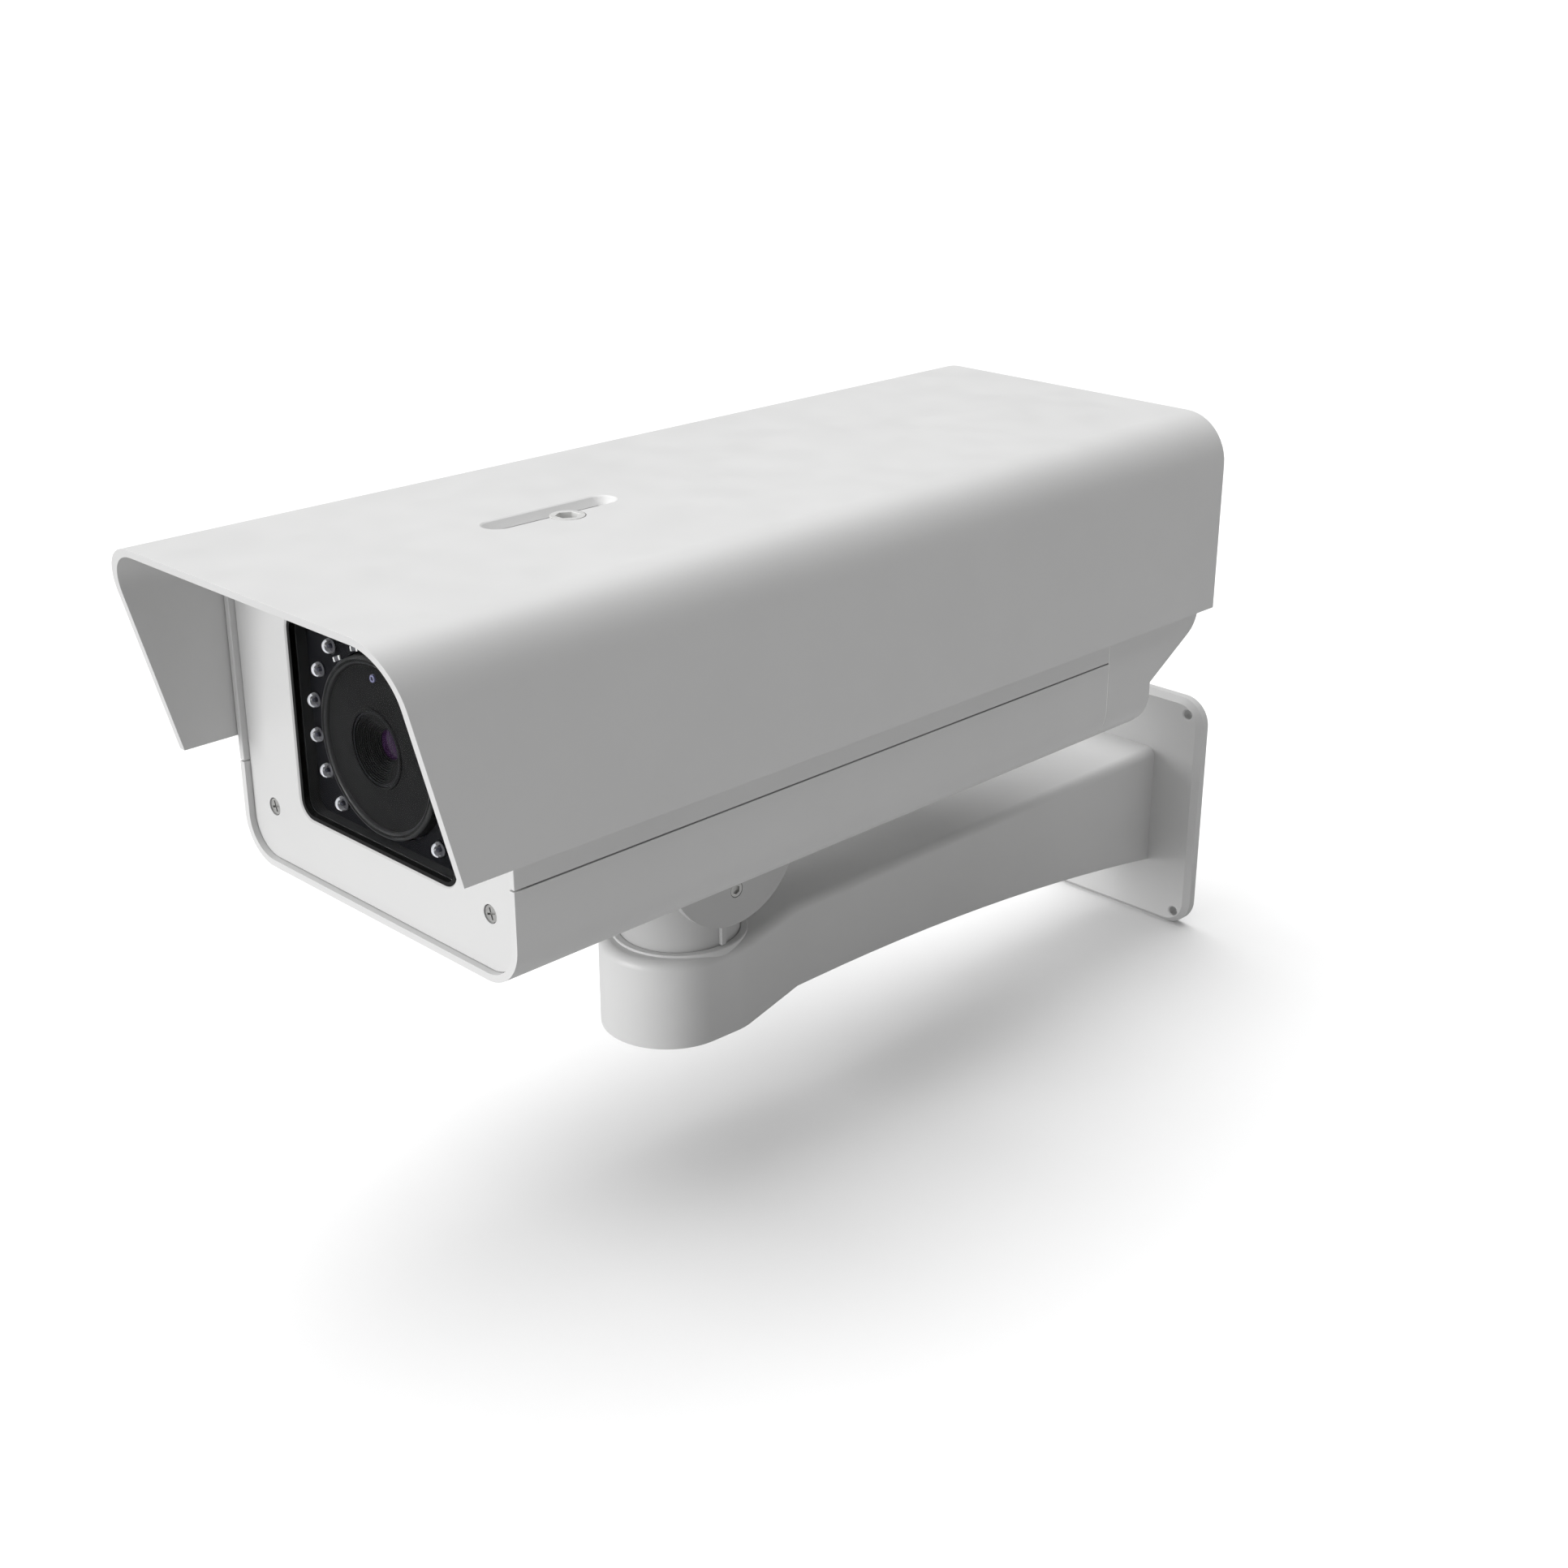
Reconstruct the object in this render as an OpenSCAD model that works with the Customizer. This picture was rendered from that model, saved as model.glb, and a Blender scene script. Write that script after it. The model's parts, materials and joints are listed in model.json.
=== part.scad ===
// Box-type outdoor security camera on a cable-managed wall arm.
// The origin is the centre of the wall plate's back face. +Z is up, the lens looks along -Y.

/* [Wall plate] */
// Width of the wall plate
plate_w = 79.6; // [70:0.2:90]
// Height of the wall plate
plate_h = 108.6; // [100:0.2:120]
// Thickness of the wall plate
plate_t = 6; // [5:0.5:8]
// Corner radius of the wall plate
plate_r = 12; // [8:0.5:14]
// Bevel around the front of the wall plate
plate_bevel = 2.4; // [1:0.1:3]
// Distance between the wall holes, side to side
wall_hole_dx = 65.4; // [56:0.2:66]
// Distance between the wall holes, top to bottom
wall_hole_dz = 95.2; // [80:0.2:96]

/* [Arm] */
// Distance of the pan axis from the wall
reach = 277.5; // [270:0.5:290]
// Half the width of the arm's beam
beam_half_w = 17; // [15:0.5:18]
// Height of the arm's flat top above the plate's centre
beam_top = 27.7; // [26:0.1:29]
// Height of the underside at the cup
beam_under = -7.1; // [-9:0.1:-6]
// Radius of the arch along the underside
arch_r = 1250; // [1200:10:1600]
// Rounding along the arm's top edges
arm_edge_r = 4; // [2:0.5:5]

/* [Pan and tilt head] */
// Radius of the swivel column
column_r = 22.4; // [21:0.1:23]
// Height of the tilt axis above the plate's centre
pivot_z = 53.2; // [53:0.1:54]
// Radius of the round cheeks
cheek_r = 31.1; // [30:0.1:32]
// Distance from the middle to the cheeks' outer faces
cheek_x = 30.8; // [30:0.1:32]
// Thickness of each cheek
cheek_t = 3; // [2.5:0.1:3.5]

/* [Housing] */
// Width of the housing
housing_w = 147.8; // [146:0.2:150]
// Height of the housing
housing_h = 116.4; // [114:0.2:118]
// Radius along the housing's long edges
housing_r = 15.4; // [14:0.2:17]
// Thickness of the housing's walls
wall_t = 2.5; // [2:0.1:3]
// Height of the base shell up to the cover's seam
seam_h = 34.6; // [33:0.1:36]
// Width of the visible seams
seam_gap = 0.5; // [0.4:0.1:1]

/* [Sunshield] */
// Thickness of the sunshield
shield_t = 2.8; // [2:0.1:3]
// Length of the sunshield along its top
shield_len = 388.8; // [380:0.2:395]
// How far the sunshield's sides reach down
shield_side_h = 76.1; // [70:0.1:80]
// How far the front edge slants back down the sides
shield_rake = 20.2; // [10:0.1:25]
// Running gap between the sunshield and the housing
shield_gap = 0.3; // [0.2:0.05:0.5]

/* [Window] */
// Width of the window opening
window_w = 85.2; // [80:0.2:88]
// Height of the window opening
window_h = 72.5; // [70:0.1:74]
// Radius of the window's corners
window_r = 7; // [5:0.5:9]
// Radius of the circle that the infrared lamps stand on
led_circle_r = 37.6; // [37:0.1:38]

/* [Hidden] */
$fn = 96;
eps = 0.01;
fit = 0.05;           // running gap of a shaft in its bore
cut = 40;             // how far a through cut runs past the faces it opens
far = 500;            // a station beyond the whole object

// Heads and sockets of the small screws
small_head_r = 2.8;
small_shaft_r = 1.6;
small_hole_r = 1.65;
tray_head_r = 3.2;
foot_head_r = 3.4;

// Wall bracket: holes, cable channel and the screws that join the arm to the plate
wall_hole_r = 2.1;
channel_r = 6;
channel_z = 3;
arm_screw_r = 2.5;
arm_screw_head_r = 4.5;
arm_screw_z = [-17, 19];
arm_screw_seat = 3;
arm_screw_l = 15;
grommet_r = 7;

// Main stations along Y and Z
pan_y = -reach;
grommet_y = pan_y + 62;
housing_z0 = pivot_z + 22.8;
housing_z1 = housing_z0 + housing_h;
housing_mid_z = (housing_z0 + housing_z1) / 2;
housing_half_w = housing_w / 2;
shield_back_y = pan_y + 217.5;
shield_front_y = shield_back_y - shield_len;
housing_front_y = shield_front_y + 40.1;
cap_seam_y = pan_y + 155.2;
cap_back_y = pan_y + 211.7;
cap_heel_y = pan_y + 182.5;
seam_z = housing_z0 + seam_h;
plate_face_y = housing_front_y + 2.3;
front_plate_t = 3;
front_screw_x = 58.4;
front_screw_low = housing_z0 + 21.4;
front_screw_high = housing_z1 - 21.4;
lug_r = 5;

// Optics
optic_z = housing_z0 + 57.6;
window_mid_z = housing_z0 + 58.75;
window_chamfer = 0.6;
gasket_w = 1.45;
glass_front_y = plate_face_y + 0.7;
glass_t = 2;
panel_front_y = plate_face_y + 6.8;
panel_t = 1.6;
hood_front_y = glass_front_y + glass_t + 0.1;
hood_r = 30.3;
hood_rim_w = 3;
hood_rim_r = 1.1;
hood_eye_r = 12.9;
led_r = 2.5;
led_angles = [9.2, 27.7, 46.2];
sensor_r = 1.3;
sensor_up = 23.3;
barrel_r = 15;
barrel_back_y = hood_front_y + 50.3;
focus_ring_y = hood_front_y + 12;
zoom_ring_y = hood_front_y + 28;
lens_ring_l = 10;
lens_ring_r = 19.5;
module_y0 = barrel_back_y + 3;
module_len = 58;
module_half = 24;
filter_y0 = module_y0 + 7;
filter_half_h = 8;
tray_z = housing_z0 + 16;
tray_t = 2;
tray_top = tray_z + tray_t;
tray_post_x = 40;
tray_post_y = [pan_y - 92, pan_y + 107];
board_z = tray_top + 6;

// Joint at the cup
cup_floor = 2;
column_foot = cup_floor + 1.2;
bush_r = 25.3;
bush_z0 = 16;
bush_z1 = beam_top + 0.9;
column_shoulder = pivot_z - 3.2;
head_r = 19;
boss_r = 12;
boss_x = cheek_x - cheek_t - 1.05;
axle_r = 4;
pan_bolt_r = 4.2;
lock_screw_r = 2.5;
lock_screw_z = 9;
arch_y = pan_y + 52.5;
foot_t = 3;
foot_half_y = 30.6;
cheek_mid_z = housing_z0 - 5.1;
foot_screw_spots = [for (sx = [-1, 1], sy = [-1, 1]) [sx * 20, pan_y + sy * 22]];

// Shells and rear cap
tube_y0 = housing_front_y;
tube_y1 = cap_seam_y - seam_gap / 2;
base_z1 = seam_z - seam_gap / 2;
cover_z0 = seam_z + seam_gap / 2;
lid_screw_x = 55;
lid_screw_y = [pan_y - 112, pan_y + 130];
rear_screw_z = [housing_z1 - 21.4, housing_z1 - 66.4];
seal_x0 = housing_half_w - 2.2;
seal_x1 = housing_half_w - 0.3;
cap_y0 = cap_seam_y + seam_gap / 2;
heel_r = 8;
heel_z1 = housing_z0 + 20.1;
slope_z1 = housing_z0 + 38;
tail_r = 12;
tail_slope = atan2(slope_z1 - heel_z1, cap_back_y - cap_heel_y);
tail_tangent = tail_r * tan(45 - tail_slope / 2);

// Sunshield: a slot along its top, and the clamp screw at the slot's edge.
// The screw's nut runs in a blind rail under the cover's top.
shield_half_w = housing_half_w + shield_gap + shield_t;
shield_top = housing_z1 + shield_gap + shield_t;
shield_outer_r = housing_r + shield_gap + shield_t;
slot_x = -1.1;
slot_y0 = shield_front_y + 97.9;
slot_y1 = shield_front_y + 141.2;
slot_half_w = 5.6;
slot_low_half_w = 2.6;
slot_lip = 0.6;
screw_x = 6.1;
screw_y = shield_front_y + 120.9;
screw_head_r = 5.85;
screw_seat = 1.3;
screw_boss_r = 4.7;
screw_shaft_r = 2.5;
slide_forward = 15;
slide_back = 29;
nut_half = 5;
nut_z0 = housing_z1 - 7.4;
nut_z1 = housing_z1 - wall_t - 0.3;
rail_y0 = screw_y - slide_forward - nut_half - 1.5;
rail_y1 = screw_y + slide_back + nut_half + 1.5;

// Cable glands on the back of the tail
gland_z = housing_z0 + 64;
gland_x = 28;
gland_bore_r = 4.5;
gland_thread_r = 8;

// ---- helpers --------------------------------------------------------------

// A cylinder along X, Y or Z between two stations
module x_cyl(r, x0, x1, y, z) {
    translate([x0, y, z]) rotate([0, 90, 0]) cylinder(r = r, h = x1 - x0);
}

module y_cyl(r, y0, y1, x, z) {
    translate([x, y1, z]) rotate([90, 0, 0]) cylinder(r = r, h = y1 - y0);
}

module z_cyl(r, z0, z1, x, y) {
    translate([x, y, z0]) cylinder(r = r, h = z1 - z0);
}

// A block given by its span along each axis
module span(x, y, z) {
    translate([x[0], y[0], z[0]]) cube([x[1] - x[0], y[1] - y[0], z[1] - z[0]]);
}

// Extrudes an X-Z outline along Y, or a Y-Z outline along X
module along_y(y0, y1) {
    translate([0, y1, 0]) rotate([90, 0, 0]) linear_extrude(y1 - y0) children();
}

module across_x(x0, x1) {
    translate([x0, 0, 0]) rotate([90, 0, 90]) linear_extrude(x1 - x0) children();
}

// A turned part on the lens axis: the outline holds radius and Y
module turned_on_y(x, z) {
    translate([x, 0, z]) rotate([-90, 0, 0]) rotate_extrude() children();
}

module rounded_rect(w, h, r) {
    square([w - 2 * r, h], center = true);
    square([w, h - 2 * r], center = true);
    for (sx = [-1, 1], sy = [-1, 1])
        translate([sx * (w / 2 - r), sy * (h / 2 - r)]) circle(r);
}

// The housing's section, drawn in from its outer face by inset
module housing_section(inset) {
    translate([0, housing_mid_z])
        rounded_rect(housing_w - 2 * inset, housing_h - 2 * inset, housing_r - inset);
}

module housing_tube(y0, y1, inset) {
    along_y(y0, y1) housing_section(inset);
}

module window_outline(inset) {
    translate([0, window_mid_z])
        rounded_rect(window_w - 2 * inset, window_h - 2 * inset, window_r - inset);
}

// A hexagon socket, sunk along -Z from the origin
module hex_socket(across_flats, depth) {
    translate([0, 0, -depth]) cylinder(r = across_flats / sqrt(3), h = depth + eps, $fn = 6);
}

// A socket screw with its head above z = 0 and its shaft below
module socket_screw(head_r, head_h, shaft_r, shaft_l) {
    difference() {
        union() {
            cylinder(r = head_r, h = head_h);
            translate([0, 0, -shaft_l]) cylinder(r = shaft_r, h = shaft_l + eps);
        }
        translate([0, 0, head_h]) hex_socket(head_r, head_h * 0.6);
    }
}

// ---- wall bracket ---------------------------------------------------------

module wall_plate() color("gainsboro") difference() {
    hull() {
        along_y(-plate_t + plate_bevel, 0) rounded_rect(plate_w, plate_h, plate_r, $fn = 48);
        along_y(-plate_t, 0)
            rounded_rect(plate_w - 2 * plate_bevel, plate_h - 2 * plate_bevel,
                plate_r - plate_bevel, $fn = 48);
    }
    for (sx = [-1, 1], sz = [-1, 1]) {
        y_cyl(wall_hole_r, -cut, cut, sx * wall_hole_dx / 2, sz * wall_hole_dz / 2);
        translate([sx * wall_hole_dx / 2, -plate_t - eps, sz * wall_hole_dz / 2])
            rotate([-90, 0, 0]) cylinder(r1 = wall_hole_r + 0.6, r2 = wall_hole_r, h = 0.6);
    }
    y_cyl(channel_r, -cut, cut, 0, channel_z);
    for (z = arm_screw_z) {
        y_cyl(arm_screw_r + 0.3, -cut, cut, 0, z);
        y_cyl(arm_screw_head_r + 0.3, -arm_screw_seat, cut, 0, z);
    }
}

module arm_screws() color("silver")
    for (z = arm_screw_z) translate([0, 2 * eps - arm_screw_seat, z]) rotate([-90, 0, 0])
        socket_screw(arm_screw_head_r, arm_screw_seat - 0.1, arm_screw_r, arm_screw_l);

// The arm is one casting: a beam with an arched underside that swells into a cup
module arm() color("gainsboro") difference() {
    union() {
        beam();
        cup_body();
    }
    y_cyl(channel_r, pan_y + 40, cut, 0, channel_z);
    z_cyl(grommet_r, beam_under - cut, channel_z, 0, grommet_y);
    for (z = arm_screw_z) y_cyl(arm_screw_r + 2 * eps, -arm_screw_l - 4, cut, 0, z);
    z_cyl(column_r + fit, cup_floor, cut + beam_top, 0, pan_y);
    z_cyl(bush_r, bush_z0, cut + beam_top, 0, pan_y);
    z_cyl(pan_bolt_r + fit, beam_under - cut, cut, 0, pan_y);
    z_cyl(11, beam_under - cut, beam_under + 4, 0, pan_y);
    x_cyl(lock_screw_r + fit, -cut, 0, pan_y, lock_screw_z);
}

module beam() difference() {
    along_y(pan_y + 30, -plate_t) intersection() {
        translate([0, beam_top - 60]) rounded_rect(2 * beam_half_w, 120, arm_edge_r);
        translate([-cut, -30]) square([2 * cut, 2 * cut + 30]);
    }
    x_cyl(arch_r, -cut, cut, arch_y, beam_under - arch_r, $fn = 360);
    span([-cut, cut], [pan_y - cut, arch_y], [beam_under - 2 * cut, beam_under]);
}

module cup_body() hull() {
    rounded_drum(25.6, pan_y - 5.8);
    rounded_drum(26.2, pan_y + 5.5);
    along_y(pan_y + 44, pan_y + 45) intersection() {
        translate([0, beam_top - 60]) rounded_rect(2 * beam_half_w, 120, arm_edge_r, $fn = 32);
        translate([-cut, beam_under]) square([2 * cut, 2 * cut]);
    }
}

// A drum with a rounded top edge
module rounded_drum(r, y) translate([0, y, beam_under]) rotate_extrude($fn = 64) {
    square([r, beam_top - beam_under - arm_edge_r]);
    square([r - arm_edge_r, beam_top - beam_under]);
    translate([r - arm_edge_r, beam_top - beam_under - arm_edge_r]) circle(arm_edge_r, $fn = 32);
}

module cable_grommet() color("dimgray") difference() {
    union() {
        z_cyl(grommet_r, beam_under - 1, beam_under + 3, 0, grommet_y);
        z_cyl(grommet_r + 1.6, beam_under - 1.5, beam_under - 0.15, 0, grommet_y);
    }
    z_cyl(grommet_r - 2.5, -cut, cut, 0, grommet_y);
}

module pan_bush() color("gainsboro") difference() {
    z_cyl(bush_r, bush_z0, bush_z1, 0, pan_y);
    z_cyl(column_r + fit, 0, cut + bush_z1, 0, pan_y);
}

module pan_thrust_washer() color("white") difference() {
    z_cyl(21.5, cup_floor, column_foot - fit, 0, pan_y);
    z_cyl(5, -cut, cut, 0, pan_y);
}

module pan_lock_screw() color("dimgray")
    translate([-25.4, pan_y, lock_screw_z]) rotate([0, -90, 0]) difference() {
        translate([0, 0, -2.95]) cylinder(r = lock_screw_r, h = 2.95);
        hex_socket(lock_screw_r, 1.6);
    }

module pan_washer() color("silver") difference() {
    z_cyl(9.5, beam_under + 2.8, beam_under + 4, 0, pan_y);
    z_cyl(pan_bolt_r + fit, -cut, cut, 0, pan_y);
}

// ---- pan and tilt head ----------------------------------------------------

// The column turns in the cup. Its rounded head carries the tilt axle.
module swivel_column() color("gainsboro") difference() {
    union() {
        z_cyl(column_r, column_foot, column_shoulder, 0, pan_y);
        intersection() {
            x_cyl(head_r, -column_r, column_r, pan_y, pivot_z);
            z_cyl(column_r, column_shoulder - 15, pivot_z + head_r, 0, pan_y);
        }
        x_cyl(boss_r, -boss_x, boss_x, pan_y, pivot_z);
        span([column_r - 1, column_r + 1.6], [pan_y - 1, pan_y + 1],
            [bush_z1 + 0.4, column_shoulder - 4]);
    }
    x_cyl(axle_r + fit, -cut, cut, pan_y, pivot_z);
    z_cyl(pan_bolt_r, column_foot - eps, column_foot + 24, 0, pan_y);
}

module pan_bolt() color("silver") {
    z_cyl(pan_bolt_r - eps, beam_under + 2.6, column_foot + 20, 0, pan_y);
    translate([0, pan_y, beam_under + 0.4]) cylinder(r = 7.5, h = 2.3, $fn = 6);
}

// A foot plate under the housing with two round cheeks hanging from it
module mounting_foot() color("gainsboro") difference() {
    union() {
        span([-cheek_x, cheek_x], [pan_y - foot_half_y, pan_y + foot_half_y],
            [housing_z0 - foot_t, housing_z0]);
        for (side = [-1, 1]) intersection() {
            x_cyl(cheek_r, side * (cheek_x - cheek_t / 2) - cheek_t / 2,
                side * (cheek_x - cheek_t / 2) + cheek_t / 2, pan_y, cheek_mid_z);
            span([-cut, cut], [pan_y - cut, pan_y + cut], [0, housing_z0]);
        }
    }
    for (side = [-1, 1]) {
        x_cyl(small_hole_r + 0.5, side * cheek_x - 5, side * cheek_x + 5, pan_y, pivot_z);
        x_cyl(small_head_r + 0.15, side * (cheek_x + 3) - 4.6, side * (cheek_x + 3) + 4.6,
            pan_y, pivot_z);
    }
    for (p = foot_screw_spots) z_cyl(small_hole_r, 0, 2 * cut, p[0], p[1]);
}

module foot_screws() color("silver")
    for (p = foot_screw_spots) translate([p[0], p[1], housing_z0 + wall_t])
        socket_screw(foot_head_r, 2.5, small_shaft_r, wall_t + foot_t - 0.2);

module tilt_axle() color("silver") difference() {
    x_cyl(axle_r, -(cheek_x - cheek_t), cheek_x - cheek_t, pan_y, pivot_z);
    for (side = [-1, 1])
        x_cyl(small_hole_r, side * cheek_x - 14, side * cheek_x + 14, pan_y, pivot_z);
}

module tilt_screws() color("silver")
    for (side = [-1, 1]) translate([side * (cheek_x - 1.55), pan_y, pivot_z])
        rotate([0, side * 90, 0]) socket_screw(small_head_r, 1.5, small_shaft_r, 11);

module tilt_washers() color("white")
    for (side = [-1, 1]) difference() {
        x_cyl(boss_r - 1, side * (boss_x + 0.55) - 0.45, side * (boss_x + 0.55) + 0.45,
            pan_y, pivot_z);
        x_cyl(axle_r + 0.1, -cut, cut, pan_y, pivot_z);
    }

// ---- housing --------------------------------------------------------------

module housing_base() color("gainsboro") difference() {
    union() {
        intersection() {
            difference() {
                housing_tube(tube_y0, tube_y1, 0);
                housing_tube(tube_y0 - cut, tube_y1 + cut, wall_t);
            }
            span([-far, far], [-far, 0], [0, base_z1]);
        }
        for (sx = [-1, 1]) {
            front_lug(sx, front_screw_low);
            for (y = lid_screw_y) base_post(sx * lid_screw_x, y);
            for (y = tray_post_y) z_cyl(4, housing_z0 + wall_t - 1, tray_z, sx * tray_post_x, y);
        }
    }
    for (sx = [-1, 1]) {
        y_cyl(small_hole_r, -far, plate_face_y + 16, sx * front_screw_x, front_screw_low);
        for (y = lid_screw_y) {
            z_cyl(small_hole_r + 0.3, 0, far, sx * lid_screw_x, y);
            z_cyl(small_head_r + 0.3, 0, housing_z0 + 4, sx * lid_screw_x, y);
        }
        for (y = tray_post_y) z_cyl(small_hole_r, tray_z - 9, tray_z + 1, sx * tray_post_x, y);
    }
    for (p = foot_screw_spots) z_cyl(small_hole_r, 0, housing_z0 + cut, p[0], p[1]);
}

// A threaded lug behind the front plate, tied to the side wall by a web
module front_lug(sx, z) {
    y_cyl(lug_r, plate_face_y + front_plate_t, plate_face_y + 18, sx * front_screw_x, z);
    span([min(sx * front_screw_x, sx * (housing_half_w - 1)),
        max(sx * front_screw_x, sx * (housing_half_w - 1))],
        [plate_face_y + front_plate_t, plate_face_y + 18], [z - 2, z + 2]);
}

module base_post(x, y) {
    z_cyl(4.5, housing_z0 + wall_t - 1, base_z1, x, y);
}

module housing_cover() color("gainsboro") difference() {
    union() {
        intersection() {
            difference() {
                housing_tube(tube_y0, tube_y1, 0);
                housing_tube(tube_y0 - cut, tube_y1 + cut, wall_t);
            }
            span([-far, far], [-far, 0], [cover_z0, far]);
        }
        for (sx = [-1, 1]) {
            front_lug(sx, front_screw_high);
            for (y = lid_screw_y) {
                z_cyl(4.5, cover_z0, cover_z0 + 16, sx * lid_screw_x, y);
                span([min(sx * lid_screw_x, sx * (housing_half_w - 1)),
                    max(sx * lid_screw_x, sx * (housing_half_w - 1))],
                    [y - 2, y + 2], [cover_z0, cover_z0 + 16]);
            }
            for (z = rear_screw_z) rear_lug(sx, z);
        }
        nut_rail(3, nut_z0 - 2, housing_z1 - 1);
    }
    for (sx = [-1, 1]) {
        y_cyl(small_hole_r, -far, plate_face_y + 16, sx * front_screw_x, front_screw_high);
        for (y = lid_screw_y) z_cyl(small_hole_r, 0, cover_z0 + 14, sx * lid_screw_x, y);
        for (z = rear_screw_z) y_cyl(small_hole_r, tube_y1 - 12, 0, sx * front_screw_x, z);
    }
    nut_rail(0, nut_z0 - 0.4, housing_z1 - wall_t);
    span([screw_x - screw_shaft_r - 0.3, screw_x + screw_shaft_r + 0.3], [rail_y0, rail_y1],
        [nut_z0, housing_z1 + 1]);
}

// The rail that the sunshield's nut runs in, grown by wall on its sides and ends
module nut_rail(wall, z0, z1)
    span([screw_x - nut_half - 0.5 - wall, screw_x + nut_half + 0.5 + wall],
        [rail_y0 - wall, rail_y1 + wall], [z0, z1]);

module rear_lug(sx, z) {
    y_cyl(lug_r, tube_y1 - 14, tube_y1, sx * front_screw_x, z);
    span([min(sx * front_screw_x, sx * (housing_half_w - 1)),
        max(sx * front_screw_x, sx * (housing_half_w - 1))],
        [tube_y1 - 14, tube_y1], [z - 2, z + 2]);
}

// Rubber cord that fills the seam between base and cover
module lid_seal() color("dimgray")
    for (sx = [-1, 1]) span([min(sx * seal_x0, sx * seal_x1), max(sx * seal_x0, sx * seal_x1)],
        [plate_face_y + front_plate_t, tube_y1], [base_z1, cover_z0]);

module lid_screws() color("silver")
    for (sx = [-1, 1], y = lid_screw_y)
        translate([sx * lid_screw_x, y, housing_z0 + 4 - eps]) rotate([180, 0, 0])
            socket_screw(small_head_r, 2.4, small_shaft_r, seam_h + 6);

module front_plate() color("whitesmoke") difference() {
    along_y(plate_face_y, plate_face_y + front_plate_t) housing_section(wall_t + 0.2);
    along_y(-far, 0) window_outline(window_chamfer);
    hull() {
        along_y(plate_face_y - eps, plate_face_y) window_outline(0, $fn = 64);
        along_y(plate_face_y + window_chamfer, plate_face_y + window_chamfer + eps)
            window_outline(window_chamfer, $fn = 64);
    }
    for (sx = [-1, 1], z = [front_screw_low, front_screw_high]) {
        y_cyl(small_hole_r, -far, 0, sx * front_screw_x, z);
        y_cyl(small_head_r + 0.35, -far, plate_face_y + 1.7, sx * front_screw_x, z);
    }
}

// Cross-recessed screws that hold the front plate to its lugs
module front_screws() color("silver")
    for (sx = [-1, 1], z = [front_screw_low, front_screw_high])
        translate([sx * front_screw_x, plate_face_y + 1.7, z]) rotate([90, 0, 0]) difference() {
            union() {
                cylinder(r = small_head_r, h = 1.3);
                translate([0, 0, -13]) cylinder(r = small_shaft_r, h = 13 + eps);
            }
            for (a = [0, 90]) rotate([0, 0, a + 20])
                translate([-2, -0.35, 0.5]) cube([4, 0.7, 1]);
        }

module window_gasket() color("black")
    along_y(plate_face_y + 0.5, plate_face_y + front_plate_t) difference() {
        window_outline(window_chamfer + 0.04);
        window_outline(window_chamfer + gasket_w);
    }

module window_glass() color("lightblue", 0.3)
    along_y(glass_front_y, glass_front_y + glass_t) window_outline(window_chamfer + gasket_w);

module window_retainer() color("black")
    along_y(plate_face_y + front_plate_t, panel_front_y) difference() {
        window_outline(-4);
        window_outline(2.4);
    }

// ---- lamps and optics -----------------------------------------------------

module led_panel() color("black") difference() {
    along_y(panel_front_y, panel_front_y + panel_t) window_outline(-3);
    y_cyl(hood_r + 0.6, -far, 0, 0, optic_z);
}

module ir_leds() color("white")
    for (sx = [-1, 1], a = [for (b = led_angles, s = [-1, 1]) s * b])
        translate([sx * led_circle_r * cos(a), panel_front_y, optic_z + led_circle_r * sin(a)])
            rotate([90, 0, 0]) {
                cylinder(r = led_r + 0.4, h = 0.4);
                cylinder(r = led_r, h = 0.7);
                translate([0, 0, 0.7]) intersection() {
                    sphere(led_r);
                    translate([-5, -5, -eps]) cube(10);
                }
            }

// Black baffle around the lens: a rimmed dish that keeps lamp light off the lens
module lens_hood() color("black") difference() {
    turned_on_y(0, optic_z) {
        polygon([[hood_eye_r - 0.5, hood_front_y + 3], [hood_eye_r - 0.5, hood_front_y],
            [hood_eye_r + 0.5, hood_front_y], [hood_eye_r + 0.5, hood_front_y + 0.5],
            [hood_r - hood_rim_w, hood_front_y + 1.6],
            [hood_r - hood_rim_w + hood_rim_r, hood_front_y + 0.1],
            [hood_r - hood_rim_r, hood_front_y + 0.1],
            [hood_r, hood_front_y + hood_rim_r], [hood_r, hood_front_y + 8],
            [hood_r - 1.5, hood_front_y + 8], [hood_r - 1.5, hood_front_y + 3]]);
    }
    y_cyl(sensor_r + 0.05, -far, 0, 0, optic_z + sensor_up);
}

module light_sensor() color("lavender") difference() {
    y_cyl(sensor_r, hood_front_y + 0.8, hood_front_y + 5, 0, optic_z + sensor_up);
    y_cyl(sensor_r / 2, hood_front_y, hood_front_y + 1.2, 0, optic_z + sensor_up);
}

// Barrel of the varifocal lens, stepped inside like a baffle
module lens_barrel() color("dimgray") turned_on_y(0, optic_z)
    polygon([[hood_eye_r - 0.6, hood_front_y + 0.4], [hood_eye_r - 0.6, hood_front_y + 7],
        [barrel_r, hood_front_y + 7], [barrel_r, barrel_back_y],
        [10, barrel_back_y], [10, hood_front_y + 8],
        [9.4, hood_front_y + 8], [9.4, hood_front_y + 5],
        [10, hood_front_y + 5], [10, hood_front_y + 3.6],
        [10.8, hood_front_y + 3.6], [10.8, hood_front_y + 2.2],
        [11.5, hood_front_y + 2.2], [11.5, hood_front_y + 0.4]]);

module lens_front_glass() color("lightblue", 0.4) intersection() {
    y_cyl(9.35, hood_front_y + 1, hood_front_y + 7.5, 0, optic_z);
    translate([0, hood_front_y + 3 + 16, optic_z]) sphere(16);
}

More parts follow.
